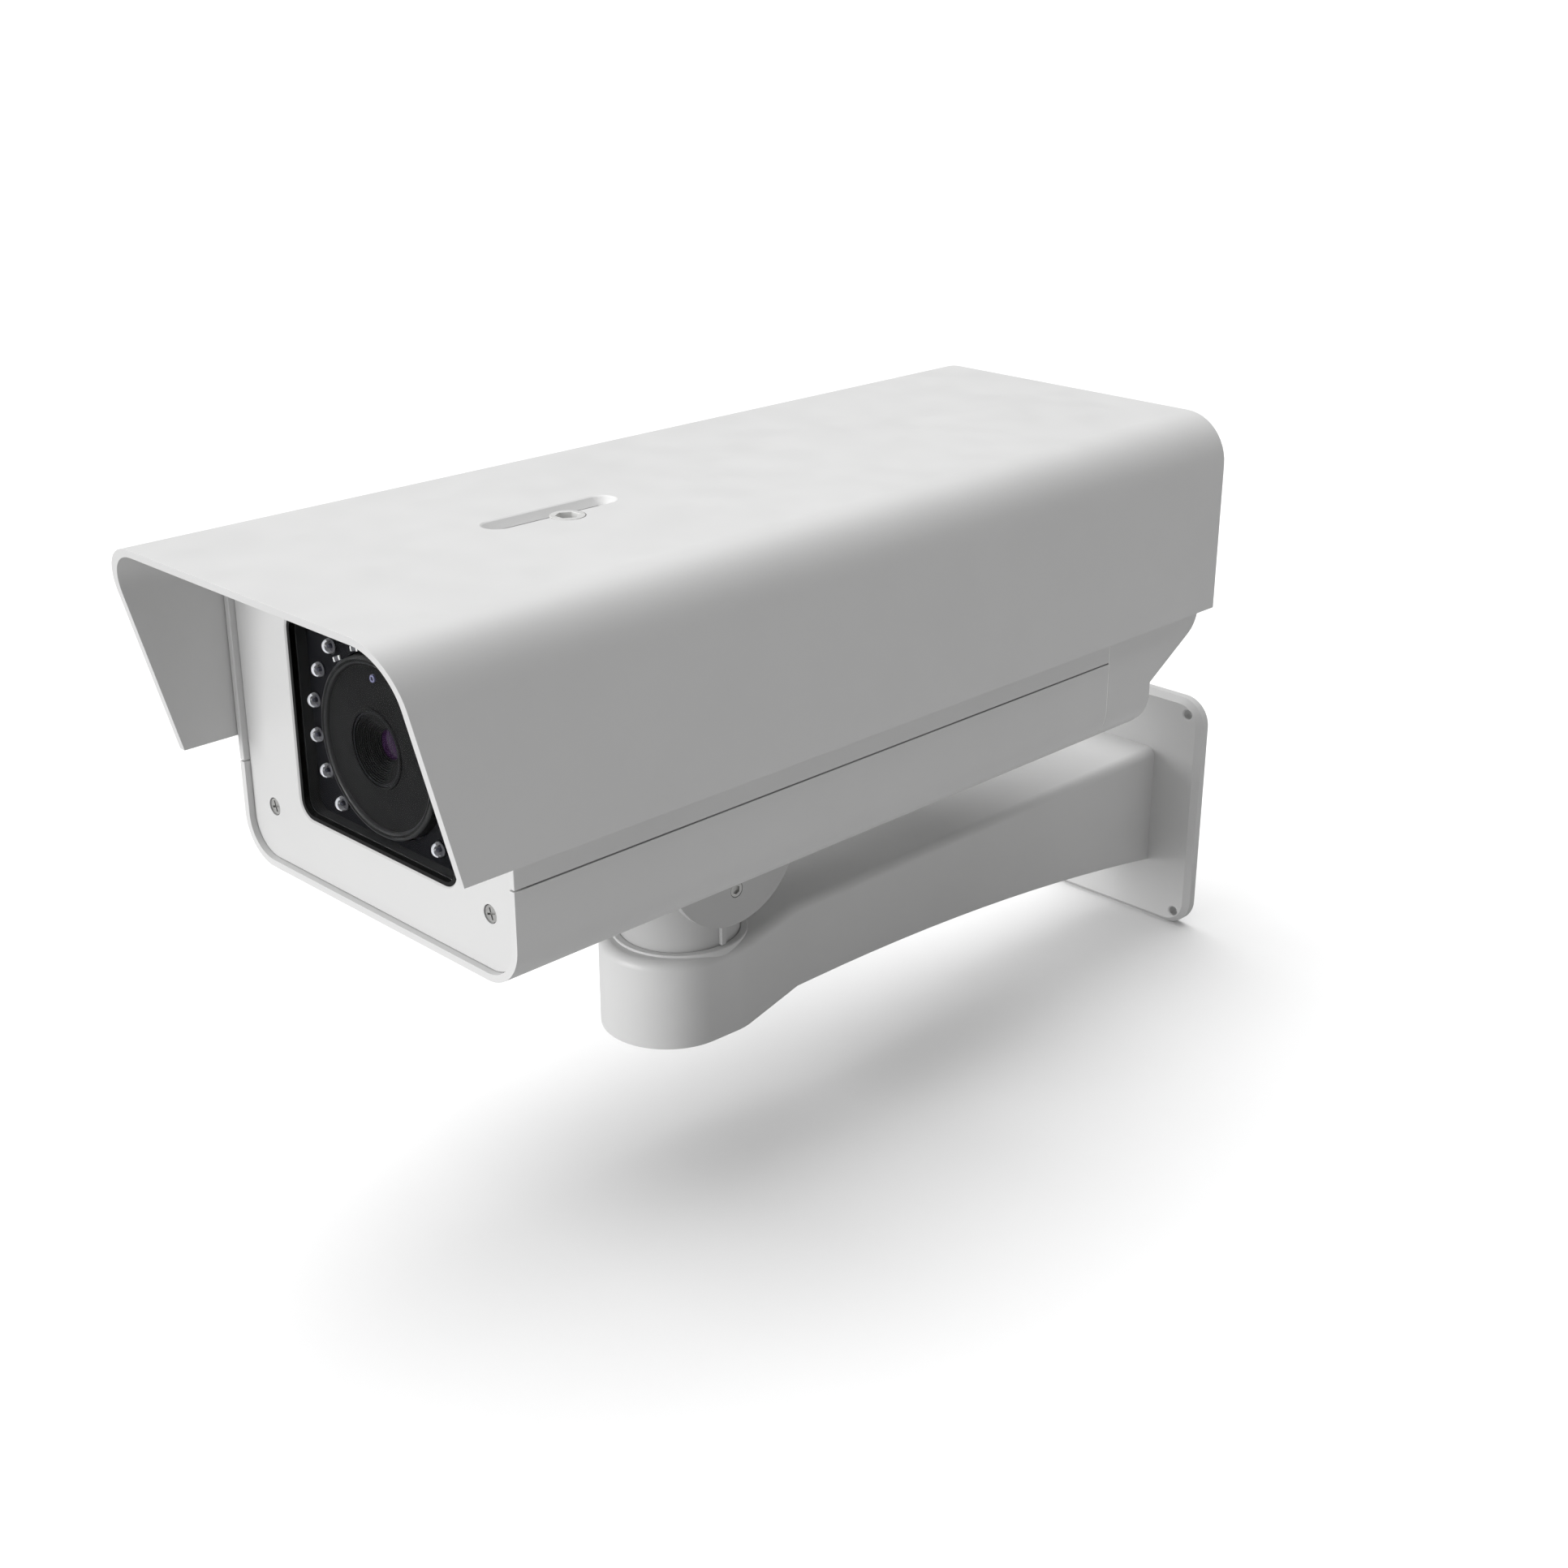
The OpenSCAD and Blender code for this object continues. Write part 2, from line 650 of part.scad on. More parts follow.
module lens_rear_glass() color("lightblue", 0.4) intersection() {
    y_cyl(9.95, barrel_back_y - 9, barrel_back_y - 3, 0, optic_z);
    translate([0, barrel_back_y - 3 - 22, optic_z]) sphere(22);
}

module lens_control_ring(y) difference() {
    union() {
        y_cyl(lens_ring_r, y, y + lens_ring_l, 0, optic_z);
        z_cyl(2.2, optic_z + lens_ring_r - 1, optic_z + lens_ring_r + 7, 0, y + lens_ring_l / 2);
        z_cyl(3, optic_z + lens_ring_r + 4, optic_z + lens_ring_r + 9, 0, y + lens_ring_l / 2);
    }
    y_cyl(barrel_r + fit, -far, 0, 0, optic_z);
    for (a = [12 : 12 : 348]) translate([0, y - 1, optic_z]) rotate([0, a, 0])
        translate([-0.6, 0, lens_ring_r - 0.5]) cube([1.2, lens_ring_l + 2, 2]);
}

module focus_ring() color("dimgray") lens_control_ring(focus_ring_y);
module zoom_ring() color("dimgray") lens_control_ring(zoom_ring_y);

module lens_mount_ring() color("silver") difference() {
    union() {
        y_cyl(19, barrel_back_y, module_y0, 0, optic_z);
        y_cyl(16, module_y0 - eps, module_y0 + 3, 0, optic_z);
    }
    y_cyl(12, -far, 0, 0, optic_z);
}

// Metal case of the camera board set, with posts and filter rails inside
module camera_module() color("silver") difference() {
    union() {
        difference() {
            span([-module_half, module_half], [module_y0, module_y0 + module_len],
                [optic_z - module_half, optic_z + module_half]);
            span([-module_half + 2, module_half - 2], [module_y0 + 3, module_y0 + module_len + 1],
                [optic_z - module_half + 2, optic_z + module_half - 2]);
        }
        for (sx = [-1, 1], sz = [-1, 1])
            y_cyl(2.5, module_y0 + 2, module_y0 + 13, sx * 17, optic_z + sz * 17);
        for (sz = [-1, 1]) span([-module_half + 1, module_half - 1], [filter_y0 - 1, filter_y0 + 3],
            [optic_z + sz * (filter_half_h + 1.4) - 1.1, optic_z + sz * (filter_half_h + 1.4) + 1.1]);
    }
    y_cyl(16.02, -far, module_y0 + 4, 0, optic_z);
}

module ir_filter_frame() color("dimgray") difference() {
    span([-20, 8], [filter_y0, filter_y0 + 2], [optic_z - filter_half_h, optic_z + filter_half_h]);
    for (x = [-12, 0]) span([x - 5, x + 5], [filter_y0 - 1, filter_y0 + 3], [optic_z - 5, optic_z + 5]);
}

module ir_filter_glass() color("lightblue", 0.4)
    span([-5, 5], [filter_y0 + 0.5, filter_y0 + 1.5], [optic_z - 5, optic_z + 5]);

module image_sensor_board() color("darkgreen")
    span([-20, 20], [module_y0 + 13, module_y0 + 14.6], [optic_z - 20, optic_z + 20]);

module image_sensor() color("black")
    span([-7, 7], [module_y0 + 11, module_y0 + 13], [optic_z - 6, optic_z + 6]);

module processor_board() color("darkgreen") union() {
    span([-21.9, 21.9], [module_y0 + 48, module_y0 + 49.6], [optic_z - 21.9, optic_z + 21.9]);
    span([-8, 8], [module_y0 + 49.6 - eps, module_y0 + module_len], [optic_z - 8, optic_z + 8]);
}

module heat_sink() color("silver") {
    sink_y0 = module_y0 + module_len;
    span([-module_half, module_half], [sink_y0, sink_y0 + 3],
        [optic_z - module_half, optic_z + module_half]);
    for (i = [-4 : 4]) span([i * 5.4 - 0.8, i * 5.4 + 0.8], [sink_y0 + 3 - eps, sink_y0 + 15],
        [optic_z - module_half, optic_z + module_half]);
}

// ---- chassis --------------------------------------------------------------

module module_stand() color("silver") difference() {
    span([-20, 20], [module_y0 + 8, module_y0 + 50], [tray_top, optic_z - module_half]);
    span([-18, 18], [module_y0 - 1, module_y0 + 60], [tray_top + 2, optic_z - module_half - 2]);
}

module camera_tray() color("silver") difference() {
    span([-50, 50], [pan_y - 105, pan_y + 125], [tray_z, tray_top]);
    for (sx = [-1, 1], y = tray_post_y) z_cyl(small_hole_r + 0.3, 0, far, sx * tray_post_x, y);
}

module tray_screws() color("silver")
    for (sx = [-1, 1], y = tray_post_y) translate([sx * tray_post_x, y, tray_top])
        socket_screw(tray_head_r, 2.4, small_shaft_r, 9);

module board_standoffs() color("goldenrod")
    for (sx = [-1, 1], y = [pan_y + 40, pan_y + 88]) translate([sx * 28, y, tray_top])
        cylinder(r = 3, h = board_z - tray_top, $fn = 6);

module power_board() color("darkgreen")
    span([-34, 34], [pan_y + 34, pan_y + 100], [board_z, board_z + panel_t]);

module transformer() color("khaki")
    span([-26, 0], [pan_y + 42, pan_y + 68], [board_z + panel_t, board_z + panel_t + 22]);

module capacitors() color("midnightblue")
    for (x = [10, 24]) z_cyl(6, board_z + panel_t, board_z + panel_t + 24, x, pan_y + 52);

module terminal_block() color("seagreen") difference() {
    span([-20, 20], [pan_y + 88, pan_y + 98], [board_z + panel_t, board_z + panel_t + 11]);
    for (x = [-15 : 10 : 15]) z_cyl(2, board_z + 8, board_z + 20, x, pan_y + 93);
}

module window_heater() color("silver")
    span([-14, 14], [plate_face_y + 10, plate_face_y + 20], [housing_z0 + wall_t, housing_z0 + 11]);

// ---- rear cap -------------------------------------------------------------

// Side outline of the tail, drawn in from its outer face by t
module tail_outline(t) {
    bend = [cap_back_y - tail_r, slope_z1 + tail_tangent];
    polygon([[cap_y0 - 1, housing_z0 + t], [cap_heel_y - heel_r, housing_z0 + t],
        [cap_heel_y - t, housing_z0 + heel_r],
        [cap_heel_y - t, heel_z1 + t * tan(45 - tail_slope / 2)],
        bend + (tail_r - t) * [sin(tail_slope), -cos(tail_slope)],
        bend + [tail_r - t, 0], [cap_back_y - t, housing_z1 - t],
        [cap_y0 - 1, housing_z1 - t]]);
    translate([cap_heel_y - heel_r, housing_z0 + heel_r]) circle(heel_r - t);
    translate(bend) circle(tail_r - t);
}

module tail_body(t) intersection() {
    housing_tube(cap_y0 - (t > 0 ? 1 : 0), cap_back_y + 5, t);
    across_x(-far, far) tail_outline(t);
}

module rear_cap() color("gainsboro") difference() {
    union() {
        difference() {
            tail_body(0);
            tail_body(wall_t);
        }
        for (sx = [-1, 1], z = rear_screw_z)
            y_cyl(lug_r, cap_y0, cap_back_y - 1, sx * front_screw_x, z);
    }
    for (sx = [-1, 1], z = rear_screw_z) {
        y_cyl(small_hole_r + 0.3, -far, 0, sx * front_screw_x, z);
        y_cyl(small_head_r + 0.3, cap_back_y - 3, 0, sx * front_screw_x, z);
    }
    for (x = [-gland_x, 0, gland_x]) y_cyl(gland_thread_r, cap_back_y - 6, cut, x, gland_z);
}

module rear_seal() color("white") along_y(tube_y1, cap_y0) difference() {
    housing_section(0.1);
    housing_section(2.2);
}

module rear_screws() color("silver")
    for (sx = [-1, 1], z = rear_screw_z) translate([sx * front_screw_x, cap_back_y - 3, z])
        rotate([-90, 0, 0]) socket_screw(small_head_r, 2.6, small_shaft_r, cap_back_y - tube_y1 + 8);

module on_gland_face(x) translate([x, cap_back_y, gland_z]) rotate([-90, 0, 0]) children();

module cable_glands() color("dimgray")
    for (x = [-gland_x, gland_x]) on_gland_face(x) difference() {
        union() {
            cylinder(r = 12, h = 5, $fn = 6);
            translate([0, 0, -8]) cylinder(r = gland_thread_r - fit, h = 18);
        }
        translate([0, 0, -20]) cylinder(r = gland_bore_r, h = 60);
    }

module gland_nuts() color("dimgray")
    for (x = [-gland_x, gland_x]) on_gland_face(x) difference() {
        translate([0, 0, 5.3]) cylinder(r1 = 10.8, r2 = 9, h = 13);
        translate([0, 0, 5]) cylinder(r = gland_thread_r, h = 5.4);
        translate([0, 0, -20]) cylinder(r = gland_bore_r, h = 60);
    }

module gland_plug() color("dimgray") on_gland_face(0) {
    cylinder(r = 12, h = 4, $fn = 6);
    translate([0, 0, -8]) cylinder(r = gland_thread_r - fit, h = 8 + eps);
}

// ---- sunshield ------------------------------------------------------------

module shield_section(inset) {
    translate([0, shield_top - 100]) rounded_rect(2 * (shield_half_w - inset),
        200 - 2 * inset, shield_outer_r - inset);
}

module sunshield() color("gainsboro") difference() {
    intersection() {
        along_y(shield_front_y - 1, shield_back_y) difference() {
            shield_section(0);
            shield_section(shield_t);
        }
        across_x(-far, far) polygon([[shield_back_y, shield_top + 1],
            [shield_back_y, shield_top - shield_side_h],
            [shield_front_y + shield_rake, shield_top - shield_side_h],
            [shield_front_y, shield_top], [shield_front_y, shield_top + 1]]);
    }
    shield_slot();
    z_cyl(screw_head_r + 0.3, shield_top - screw_seat, shield_top + cut, screw_x, screw_y);
    z_cyl(screw_boss_r + 0.3, shield_top - cut, shield_top, screw_x, screw_y);
}

// A slot with round ends, whose edge slopes inwards all round
module shield_slot() translate([slot_x, 0, shield_top]) {
    along_y(slot_y0, slot_y1) for (side = [0, 1]) mirror([side, 0]) slot_half_section();
    for (y = [slot_y0, slot_y1]) translate([0, y, 0]) rotate_extrude() slot_half_section();
}

module slot_half_section() polygon([
    [0, eps], [0, -shield_t - eps], [slot_low_half_w, -shield_t - eps],
    [slot_half_w - slot_lip, -slot_lip / 2], [slot_half_w, 0], [slot_half_w, eps]]);

// Flanged socket screw that clamps the sunshield to its nut in the cover's rail
module shield_screw() color("silver") translate([screw_x, screw_y, shield_top]) difference() {
    union() {
        translate([0, 0, eps - screw_seat]) cylinder(r = screw_head_r, h = screw_seat + 0.1);
        translate([0, 0, -2.6]) cylinder(r = screw_boss_r, h = 2.6);
        translate([0, 0, -10.4]) cylinder(r = screw_shaft_r, h = 9);
    }
    translate([0, 0, 0.1]) hex_socket(7, 2.3);
}

module shield_nut() color("silver") difference() {
    span([screw_x - nut_half, screw_x + nut_half], [screw_y - nut_half, screw_y + nut_half],
        [nut_z0, nut_z1]);
    z_cyl(screw_shaft_r + 2 * eps, 0, 2 * housing_z1, screw_x, screw_y);
}

// ---- assembly -------------------------------------------------------------

wall_plate();
arm_screws();
arm();
cable_grommet();
pan_bush();
pan_thrust_washer();
pan_lock_screw();
pan_washer();
swivel_column();
pan_bolt();
mounting_foot();
foot_screws();
tilt_axle();
tilt_screws();
tilt_washers();
housing_base();
housing_cover();
lid_seal();
lid_screws();
front_plate();
front_screws();
window_gasket();
window_glass();
window_retainer();
led_panel();
ir_leds();
lens_hood();
light_sensor();
lens_barrel();
lens_front_glass();
lens_rear_glass();
lens_mount_ring();
camera_module();
module_stand();
image_sensor_board();
image_sensor();
processor_board();
heat_sink();
camera_tray();
tray_screws();
power_board();
board_standoffs();
transformer();
capacitors();
terminal_block();
window_heater();
rear_cap();
rear_seal();
rear_screws();
cable_glands();
gland_nuts();
gland_plug();
shield_screw();
shield_nut();
sunshield();
focus_ring();
zoom_ring();
ir_filter_frame();
ir_filter_glass();
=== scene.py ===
"""Looks of the wall-mounted security camera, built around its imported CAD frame.

Metres, +Z up. The lens looks along -Y and the wall is the plane Y = 0.
"""

import json
import math

import bmesh
import bpy
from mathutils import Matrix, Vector


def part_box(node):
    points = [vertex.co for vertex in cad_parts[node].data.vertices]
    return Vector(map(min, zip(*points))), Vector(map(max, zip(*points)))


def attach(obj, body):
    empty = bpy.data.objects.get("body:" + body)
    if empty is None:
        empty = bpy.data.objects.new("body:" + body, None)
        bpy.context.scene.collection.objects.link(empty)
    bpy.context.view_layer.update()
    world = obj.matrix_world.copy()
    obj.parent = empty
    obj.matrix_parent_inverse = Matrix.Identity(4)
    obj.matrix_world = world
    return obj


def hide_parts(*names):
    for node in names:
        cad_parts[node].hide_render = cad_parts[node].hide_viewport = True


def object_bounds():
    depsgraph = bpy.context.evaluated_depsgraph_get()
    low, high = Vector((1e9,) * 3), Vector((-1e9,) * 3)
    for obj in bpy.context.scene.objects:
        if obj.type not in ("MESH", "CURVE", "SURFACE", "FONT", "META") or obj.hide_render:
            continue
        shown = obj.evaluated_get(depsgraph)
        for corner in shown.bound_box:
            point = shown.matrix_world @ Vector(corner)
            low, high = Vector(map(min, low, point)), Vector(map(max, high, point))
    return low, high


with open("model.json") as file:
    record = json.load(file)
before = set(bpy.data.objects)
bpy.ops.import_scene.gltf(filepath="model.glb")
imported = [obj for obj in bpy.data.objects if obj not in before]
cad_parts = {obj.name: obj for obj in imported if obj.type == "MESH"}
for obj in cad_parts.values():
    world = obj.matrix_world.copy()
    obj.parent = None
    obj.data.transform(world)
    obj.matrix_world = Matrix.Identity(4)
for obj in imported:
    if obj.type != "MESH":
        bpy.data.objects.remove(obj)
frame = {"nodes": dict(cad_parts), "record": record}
cad_low, cad_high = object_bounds()
nodes = frame["nodes"]

MM = 0.001

# ---- shader helpers -------------------------------------------------------
# Noise scales are per metre of the object, and bump depths are in millimetres.

# Most of a noise's values lie between these two
NOISE_LOW, NOISE_HIGH = 0.3, 0.7


def by_ray(tree, ray, usual, special):
    """A shader that is special for one sort of ray, and usual for all the others."""
    path = tree.nodes.new("ShaderNodeLightPath")
    mix = tree.nodes.new("ShaderNodeMixShader")
    tree.links.new(path.outputs[ray], mix.inputs["Fac"])
    tree.links.new(usual.outputs[0], mix.inputs[1])
    tree.links.new(special.outputs[0], mix.inputs[2])
    return mix.outputs[0]


class Shader:
    """A material under construction: a Principled BSDF and the nodes that feed it."""

    def __init__(self, name, **constants):
        self.material = bpy.data.materials.new(name)
        self.material.use_nodes = True
        self.tree = self.material.node_tree
        self.tree.nodes.clear()
        self.output = self.add("OutputMaterial")
        self.bsdf = self.add("BsdfPrincipled")
        for constant, value in constants.items():
            self.bsdf.inputs[constant.replace("_", " ")].default_value = value
        self.link(self.bsdf.outputs[0], self.output.inputs["Surface"])
        self.coords = self.add("TexCoord").outputs["Object"]

    def add(self, kind, **inputs):
        """A new node of this kind, with the values of its inputs."""
        node = self.tree.nodes.new("ShaderNode" + kind)
        for name, value in inputs.items():
            node.inputs[name.replace("_", " ")].default_value = value
        return node

    def link(self, source, target):
        self.tree.links.new(source, target)

    def stretched(self, scale):
        """The object's coordinates, scaled along each axis."""
        node = self.add("Mapping", Scale=scale)
        self.link(self.coords, node.inputs["Vector"])
        return node.outputs["Vector"]

    def noise(self, scale, detail=3.0, rough=0.5, vector=None):
        node = self.add("TexNoise", Scale=scale, Detail=detail, Roughness=rough)
        self.link(vector or self.coords, node.inputs["Vector"])
        return node.outputs["Fac"]

    def colour(self, factor, low, high):
        """The base colour, which goes from low to high with factor."""
        node = self.add("ValToRGB")
        stops = ((NOISE_LOW, low), (NOISE_HIGH, high))
        for element, (position, rgb) in zip(node.color_ramp.elements, stops):
            element.position = position
            element.color = (*rgb, 1.0)
        self.link(factor, node.inputs["Fac"])
        self.link(node.outputs["Color"], self.bsdf.inputs["Base Color"])

    def roughness(self, factor, low, high):
        """The roughness, which goes from low to high with factor."""
        node = self.add("MapRange", From_Min=NOISE_LOW, From_Max=NOISE_HIGH, To_Min=low, To_Max=high)
        self.link(factor, node.inputs["Value"])
        self.link(node.outputs["Result"], self.bsdf.inputs["Roughness"])

    def bump(self, height, depth, strength=1.0):
        node = self.add("Bump", Distance=depth * MM, Strength=strength)
        self.link(height, node.inputs["Height"])
        self.link(node.outputs["Normal"], self.bsdf.inputs["Normal"])


def tinted(rgb, factor):
    return tuple(min(1.0, c * factor) for c in rgb)


def powder_coat(name, rgb):
    """Satin powder coat: a fine orange peel, with faint cloudiness in colour and gloss."""
    s = Shader(name, Metallic=0.0, IOR=1.5)
    s.colour(s.noise(9.0, detail=4.0), tinted(rgb, 0.975), tinted(rgb, 1.02))
    s.roughness(s.noise(60.0), 0.40, 0.50)
    s.bump(s.noise(1500.0, detail=2.0, rough=0.45), 0.03, strength=0.5)
    return s.material


def moulded(name, rgb, rough=0.5, grain=2600.0, depth=0.02, specular=0.5):
    """Moulded plastic or rubber with a fine spark-eroded grain."""
    s = Shader(name, Metallic=0.0, IOR=1.5, Specular_IOR_Level=specular)
    s.colour(s.noise(25.0), tinted(rgb, 0.85), tinted(rgb, 1.15))
    s.roughness(s.noise(180.0), rough - 0.06, rough + 0.06)
    s.bump(s.noise(grain, detail=2.0), depth)
    return s.material


def metal(name, rgb, rough=0.3):
    """Bare or plated metal with fine drawn or turned lines."""
    s = Shader(name, Metallic=1.0)
    lines = s.noise(4.0, detail=4.0, rough=0.6, vector=s.stretched((400.0, 8.0, 400.0)))
    s.colour(lines, tinted(rgb, 0.86), tinted(rgb, 1.08))
    s.roughness(lines, rough - 0.07, rough + 0.09)
    s.bump(lines, 0.01)
    return s.material


def clear_glass(name, rgb, ior, rough=0.0):
    """Glass that lets lamplight straight through, so that what is behind it stays lit."""
    s = Shader(name, Metallic=0.0, Roughness=rough, IOR=ior, Transmission_Weight=1.0)
    s.colour(s.noise(14.0), tinted(rgb, 0.985), rgb)
    s.link(by_ray(s.tree, "Is Shadow Ray", usual=s.bsdf, special=s.add("BsdfTransparent")),
           s.output.inputs["Surface"])
    return s.material


# ---- materials of the frame's own slots -----------------------------------

shell_paint = powder_coat("shell_powder_coat", (0.60, 0.60, 0.598))

SLOT_MATERIALS = {
    "plate_paint": shell_paint,
    "arm_paint": shell_paint,
    "shell_paint": shell_paint,
    "shield_paint": shell_paint,
    "front_paint": powder_coat("front_powder_coat", (0.59, 0.59, 0.588)),
    # A darker copy of the shell's white powder coat: painted shade for the head, which sits in the
    # housing's shadow
    "head_paint": powder_coat("head_powder_coat_painted_shade", (0.47, 0.47, 0.468)),
    "zinc_screws": metal("zinc_plate", (0.62, 0.62, 0.60)),
    "stainless": metal("stainless", (0.48, 0.48, 0.47), 0.42),
    "black_screw": metal("black_oxide", (0.05, 0.05, 0.05), 0.4),
    "satin_steel": moulded("satin_nickel", (0.60, 0.60, 0.59), 0.3, 900.0, 0.01),
    "bare_aluminium": metal("brushed_aluminium", (0.72, 0.72, 0.73), 0.35),
    "brass": metal("brass", (0.78, 0.60, 0.28)),
    "black_rubber": moulded("black_rubber", (0.010, 0.010, 0.010), 0.7, specular=0.15),
    "grey_rubber": moulded("grey_rubber", (0.20, 0.20, 0.20), 0.7, specular=0.2),
    "pale_rubber": moulded("pale_silicone", (0.80, 0.80, 0.79), 0.6, specular=0.3),
    "nylon": moulded("nylon", (0.80, 0.79, 0.74), 0.45),
    "gland_nylon": moulded("gland_nylon", (0.03, 0.03, 0.032)),
    "window": clear_glass("window_glass", (0.97, 0.98, 0.99), 1.04),
    "lens_coated": clear_glass("coated_lens_glass", (0.30, 0.06, 0.42), 1.2),
    "lens_metal": moulded("black_anodised", (0.005, 0.005, 0.006), 0.4, 900.0, 0.01, 0.08),
    "black_frame": moulded("black_frame", (0.026, 0.026, 0.026), 0.6, specular=0.05),
    "baffle": moulded("baffle", (0.007, 0.007, 0.007), specular=0.03),
    "sensor_lens": moulded("sensor_lens", (0.11, 0.11, 0.19), 0.3),
    "led_epoxy": moulded("led_epoxy", (0.92, 0.92, 0.94), 0.12, 300.0, 0.002),
    "led_mask": moulded("black_solder_mask", (0.004, 0.004, 0.005), 0.45, 900.0, specular=0.03),
    "circuit_board": moulded("circuit_board", (0.012, 0.12, 0.05), 0.35, 700.0),
    "chip": moulded("chip", (0.02, 0.02, 0.03), 0.3, specular=0.2),
    "coil_tape": moulded("coil_tape", (0.70, 0.56, 0.18), 0.4),
    "sleeve": moulded("capacitor_sleeve", (0.02, 0.03, 0.14), 0.25),
    "terminal_green": moulded("terminal_green", (0.03, 0.30, 0.12), 0.4),
}

# ---- rounded edges of the CAD nodes ---------------------------------------

# Width of the rounding in millimetres
SOFT_EDGES = {
    "sunshield": 0.6, "housing_base": 0.5, "housing_cover": 0.5, "rear_cap": 0.5,
    "front_plate": 0.4, "wall_plate": 0.8, "arm": 1.0, "pan_bush": 0.5,
    "swivel_column": 0.4, "mounting_foot": 0.5, "cable_glands": 0.4, "gland_nuts": 0.5,
    "gland_plug": 0.4, "shield_screw": 0.2, "tilt_screws": 0.2, "pan_bolt": 0.3,
    "pan_washer": 0.2, "rear_screws": 0.2, "lid_screws": 0.2, "cable_grommet": 0.4,
    "lens_hood": 0.25,
}
# Edges that turn by more than this many degrees are rounded. The slot's edges are gentle.
EDGE_ANGLE = {"sunshield": 15.0}
USUAL_EDGE_ANGLE = 28.0
# Points closer than this in millimetres are one, and faces flatter than this in degrees are joined
WELD_REACH = 0.002
FLAT_ANGLE = 0.4


def dress_nodes():
    """Gives every CAD node the material of its slot."""
    for row in frame["record"]["subparts"]:
        node = nodes[row["node"]]
        node.data.materials.clear()
        node.data.materials.append(SLOT_MATERIALS[row["material_slot"]])


def soften(node, width, angle):
    """Rounds a CAD node's hard edges by modifiers, and shades its curves smoothly."""
    obj = nodes[node]
    for polygon in obj.data.polygons:
        polygon.use_smooth = True
    weld = obj.modifiers.new("weld", "WELD")
    weld.merge_threshold = WELD_REACH * MM
    flat = obj.modifiers.new("flat_faces", "DECIMATE")
    flat.decimate_type = "DISSOLVE"
    flat.angle_limit = math.radians(FLAT_ANGLE)
    bevel = obj.modifiers.new("edges", "BEVEL")
    bevel.width = width * MM
    bevel.segments = 3
    bevel.limit_method = "ANGLE"
    bevel.angle_limit = math.radians(angle)
    bevel.harden_normals = True
    normals = obj.modifiers.new("normals", "WEIGHTED_NORMAL")
    normals.keep_sharp = True


dress_nodes()
for node_name, edge in SOFT_EDGES.items():
    soften(node_name, edge, EDGE_ANGLE.get(node_name, USUAL_EDGE_ANGLE))

# ---- tools for the fine pieces --------------------------------------------
# A profile is a list of (radius, height) in millimetres. A spot is an (x, z) in metres.


def add_piece(name, build, material, smooth_angle=35.0):
    """A new mesh on the camera body, which build fills through a bmesh."""
    mesh = bpy.data.meshes.new(name)
    shape = bmesh.new()
    build(shape)
    bmesh.ops.recalc_face_normals(shape, faces=shape.faces)
    shape.to_mesh(mesh)
    shape.free()
    mesh.shade_smooth()
    mesh.set_sharp_from_angle(angle=math.radians(smooth_angle))
    mesh.materials.append(material)
    piece = bpy.data.objects.new(name, mesh)
    bpy.context.scene.collection.objects.link(piece)
    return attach(piece, "camera_body")


def turned(shape, profile, spot, face_y, steps):
    """Turns a profile about the axis at spot. Heights run along -Y from face_y."""
    rings = []
    for radius, height in profile:
        y = face_y - height * MM
        if radius == 0.0:
            rings.append([shape.verts.new((spot[0], y, spot[1]))])
            continue
        turns = [math.tau * step / steps for step in range(steps)]
        rings.append([shape.verts.new((spot[0] + radius * MM * math.cos(turn), y,
                                       spot[1] + radius * MM * math.sin(turn))) for turn in turns])
    for low_ring, high_ring in zip(rings, rings[1:]):
        for i in range(steps):
            j = (i + 1) % steps
            if len(low_ring) == 1:
                shape.faces.new((low_ring[0], high_ring[i], high_ring[j]))
            elif len(high_ring) == 1:
                shape.faces.new((low_ring[i], low_ring[j], high_ring[0]))
            else:
                shape.faces.new((low_ring[i], low_ring[j], high_ring[j], high_ring[i]))


def add_turned(name, profile, spots, face_y, material, steps=40, smooth_angle=35.0):
    """A new piece with the same turned profile at every spot."""
    def build(shape):
        for spot in spots:
            turned(shape, profile, spot, face_y, steps)

    return add_piece(name, build, material, smooth_angle)


def block(shape, centre, size, tilt):
    """A block of size (x, y, z) in millimetres about centre, turned by tilt degrees about Y."""
    made = bmesh.ops.create_cube(shape, size=1.0)["verts"]
    cos, sin = math.cos(math.radians(tilt)), math.sin(math.radians(tilt))
    for vert in made:
        x, y, z = (c * s * MM for c, s in zip(vert.co, size))
        vert.co = centre + Vector((x * cos - z * sin, y, x * sin + z * cos))
    edges = {edge for vert in made for edge in vert.link_edges}
    bmesh.ops.bevel(shape, geom=list(edges), offset=0.08 * MM, segments=2, affect="EDGES")


# ---- lamps and small parts on the lamp board ------------------------------

BOARD_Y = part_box("led_panel")[0].y
HOOD_LOW, HOOD_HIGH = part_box("lens_hood")
LENS_X = (HOOD_LOW.x + HOOD_HIGH.x) / 2
LENS_Z = (HOOD_LOW.z + HOOD_HIGH.z) / 2

ceramic = moulded("resistor_ceramic", (0.05, 0.05, 0.055), 0.35)
chip = SLOT_MATERIALS["chip"]

# Points of the lamps' CAD node closer than this belong to one lamp
LAMP_REACH = 6.0
LAMP_R = 2.5
LAMP_FLANGE_R = 2.9
# Height above the board where a lamp's dome begins, and the steps of its curve
DOME_FOOT = 0.7
DOME_STEPS = 12
LAMP_BASE = [(0.0, 0.1), (2.2, 0.1), (2.2, 0.3), (0.0, 0.3)]
LAMP_POST = [(0.0, 0.25), (0.6, 0.25), (0.5, 1.1), (0.0, 1.2)]
